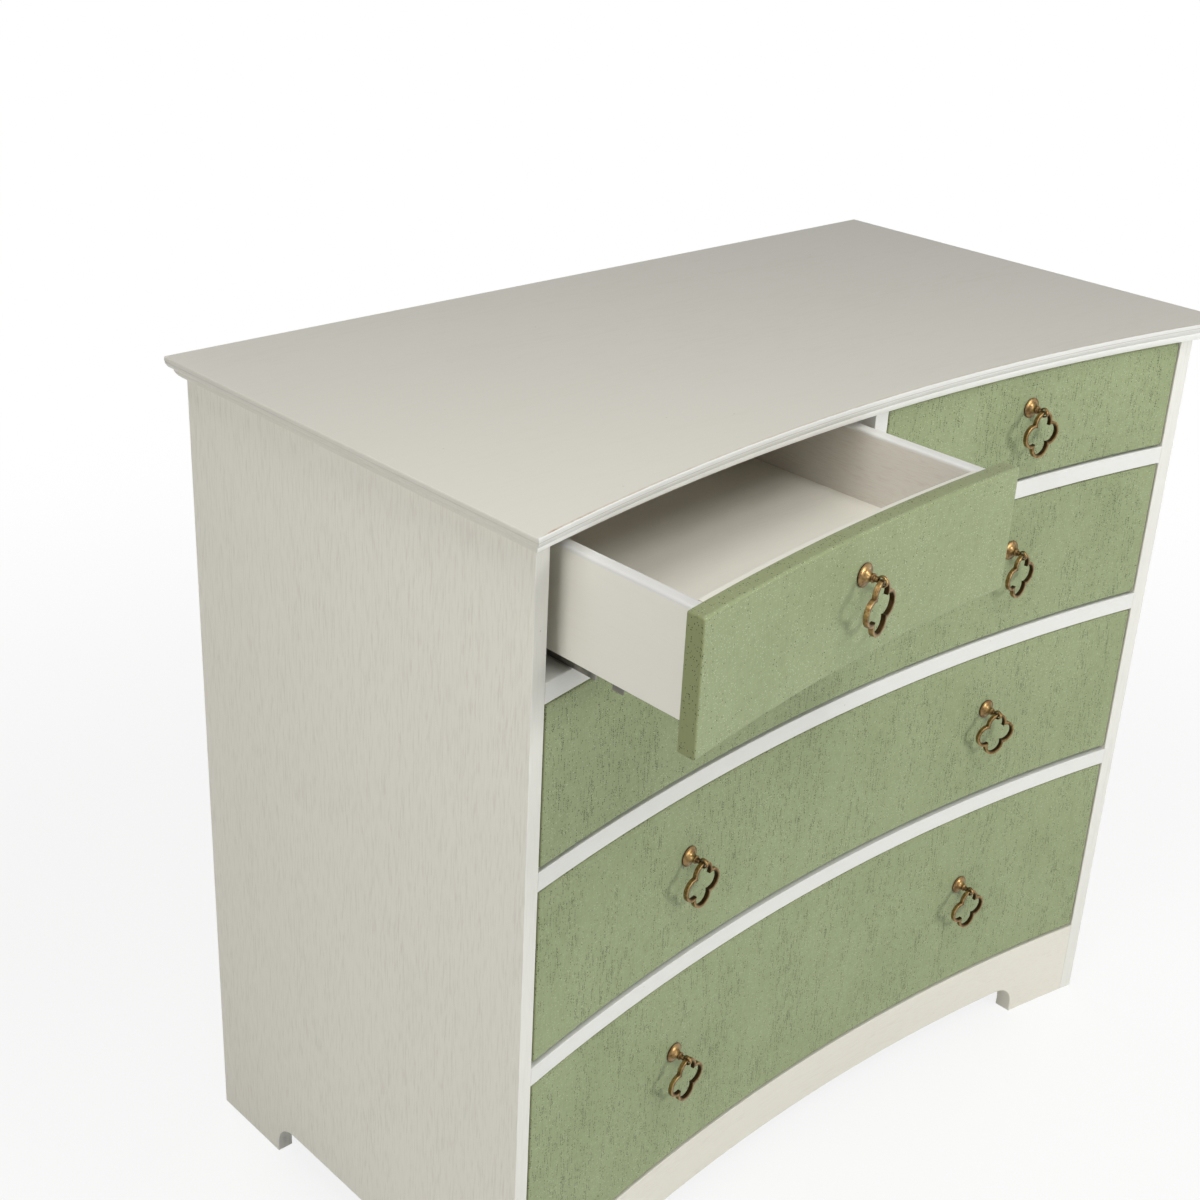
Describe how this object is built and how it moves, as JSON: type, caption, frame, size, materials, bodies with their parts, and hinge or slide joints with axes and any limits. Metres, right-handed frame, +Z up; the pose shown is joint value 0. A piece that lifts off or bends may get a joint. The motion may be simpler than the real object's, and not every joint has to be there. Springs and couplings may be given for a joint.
{
  "type": "chest of drawers",
  "caption": "Chest of drawers with a hollow, inward curved front: short drawers over long ones, linen covered fronts, swinging quatrefoil ring pulls, one short drawer pulled out.",
  "frame": {"origin": "middle of the carcass footprint on the floor, at the underside of the centre foot", "axes": "+X to the right seen from the front, +Y to the back, +Z up"},
  "size_m": [1.019, 0.6797, 0.914],
  "materials": {
    "painted_wood": "off-white paint over fine brushed grain, satin",
    "linen_front": "board wrapped in sage green lacquered linen",
    "antique_brass": "antiqued, darkened in the recesses",
    "zinc_steel": "zinc plated"
  },
  "bodies": {
    "carcass": {"top_panel": "painted_wood", "bed_moulding": "painted_wood", "side_panel_left": "painted_wood", "side_panel_right": "painted_wood", "back_panel": "painted_wood", "bottom_panel": "painted_wood", "top_rail": "painted_wood", "rail_upper": "painted_wood", "rail_middle": "painted_wood", "rail_lower": "painted_wood", "apron": "painted_wood", "back_plinth": "painted_wood", "partition": "painted_wood", "dust_panels": "painted_wood", "corner_blocks": "painted_wood", "centre_foot": "painted_wood", "cabinet_runners": "zinc_steel"},
    "upper_left_drawer": {"upper_left_front": "linen_front", "upper_left_subfront": "painted_wood", "upper_left_sides": "painted_wood", "upper_left_back": "painted_wood", "upper_left_bottom": "painted_wood", "upper_left_slides": "zinc_steel", "upper_left_pull_posts": "antique_brass"},
    "upper_left_pull": {"upper_left_ring": "antique_brass"},
    "upper_right_drawer": {"upper_right_front": "linen_front", "upper_right_subfront": "painted_wood", "upper_right_sides": "painted_wood", "upper_right_back": "painted_wood", "upper_right_bottom": "painted_wood", "upper_right_slides": "zinc_steel", "upper_right_pull_posts": "antique_brass"},
    "upper_right_pull": {"upper_right_ring": "antique_brass"},
    "second_drawer": {"second_front": "linen_front", "second_subfront": "painted_wood", "second_sides": "painted_wood", "second_back": "painted_wood", "second_bottom": "painted_wood", "second_slides": "zinc_steel", "second_pull_posts": "antique_brass"},
    "second_left_pull": {"second_left_ring": "antique_brass"},
    "second_right_pull": {"second_right_ring": "antique_brass"},
    "third_drawer": {"third_front": "linen_front", "third_subfront": "painted_wood", "third_sides": "painted_wood", "third_back": "painted_wood", "third_bottom": "painted_wood", "third_slides": "zinc_steel", "third_pull_posts": "antique_brass"},
    "third_left_pull": {"third_left_ring": "antique_brass"},
    "third_right_pull": {"third_right_ring": "antique_brass"},
    "lowest_drawer": {"lowest_front": "linen_front", "lowest_subfront": "painted_wood", "lowest_sides": "painted_wood", "lowest_back": "painted_wood", "lowest_bottom": "painted_wood", "lowest_slides": "zinc_steel", "lowest_pull_posts": "antique_brass"},
    "lowest_left_pull": {"lowest_left_ring": "antique_brass"},
    "lowest_right_pull": {"lowest_right_ring": "antique_brass"}
  },
  "joints": [
    {"name": "upper_left_drawer_slide", "type": "slide", "parent": "carcass", "child": "upper_left_drawer", "axis": [0, -1, 0], "range_m": [-0.169, 0.15]},
    {"name": "upper_left_pull_swing", "type": "hinge", "parent": "upper_left_drawer", "child": "upper_left_pull", "pos_m": [-0.23711, -0.40724, 0.84695], "axis": [-0.9758, -0.2185, 0], "range_deg": [-15, 95]},
    {"name": "upper_right_drawer_slide", "type": "slide", "parent": "carcass", "child": "upper_right_drawer", "axis": [0, -1, 0], "range_m": [0, 0.319]},
    {"name": "upper_right_pull_swing", "type": "hinge", "parent": "upper_right_drawer", "child": "upper_right_pull", "pos_m": [0.23711, -0.23824, 0.84695], "axis": [-0.9952, 0.0979, 0], "range_deg": [-15, 95]},
    {"name": "second_drawer_slide", "type": "slide", "parent": "carcass", "child": "second_drawer", "axis": [0, -1, 0], "range_m": [0, 0.319]},
    {"name": "second_left_pull_swing", "type": "hinge", "parent": "second_drawer", "child": "second_left_pull", "pos_m": [-0.23922, -0.23845, 0.6825], "axis": [-0.9951, -0.0988, 0], "range_deg": [-15, 95]},
    {"name": "second_right_pull_swing", "type": "hinge", "parent": "second_drawer", "child": "second_right_pull", "pos_m": [0.23922, -0.23845, 0.6825], "axis": [-0.9983, -0.0581, 0], "range_deg": [-15, 95]},
    {"name": "third_drawer_slide", "type": "slide", "parent": "carcass", "child": "third_drawer", "axis": [0, -1, 0], "range_m": [0, 0.319]},
    {"name": "third_left_pull_swing", "type": "hinge", "parent": "third_drawer", "child": "third_left_pull", "pos_m": [-0.23922, -0.23845, 0.48475], "axis": [-0.9951, -0.0988, 0], "range_deg": [-15, 95]},
    {"name": "third_right_pull_swing", "type": "hinge", "parent": "third_drawer", "child": "third_right_pull", "pos_m": [0.23922, -0.23845, 0.48475], "axis": [-0.9674, 0.2532, 0], "range_deg": [-15, 95]},
    {"name": "lowest_drawer_slide", "type": "slide", "parent": "carcass", "child": "lowest_drawer", "axis": [0, -1, 0], "range_m": [0, 0.319]},
    {"name": "lowest_left_pull_swing", "type": "hinge", "parent": "lowest_drawer", "child": "lowest_left_pull", "pos_m": [-0.23922, -0.23845, 0.245], "axis": [-0.9951, -0.0988, 0], "range_deg": [-15, 95]},
    {"name": "lowest_right_pull_swing", "type": "hinge", "parent": "lowest_drawer", "child": "lowest_right_pull", "pos_m": [0.23922, -0.23845, 0.245], "axis": [-0.9951, 0.0988, 0], "range_deg": [-15, 95]}
  ]
}
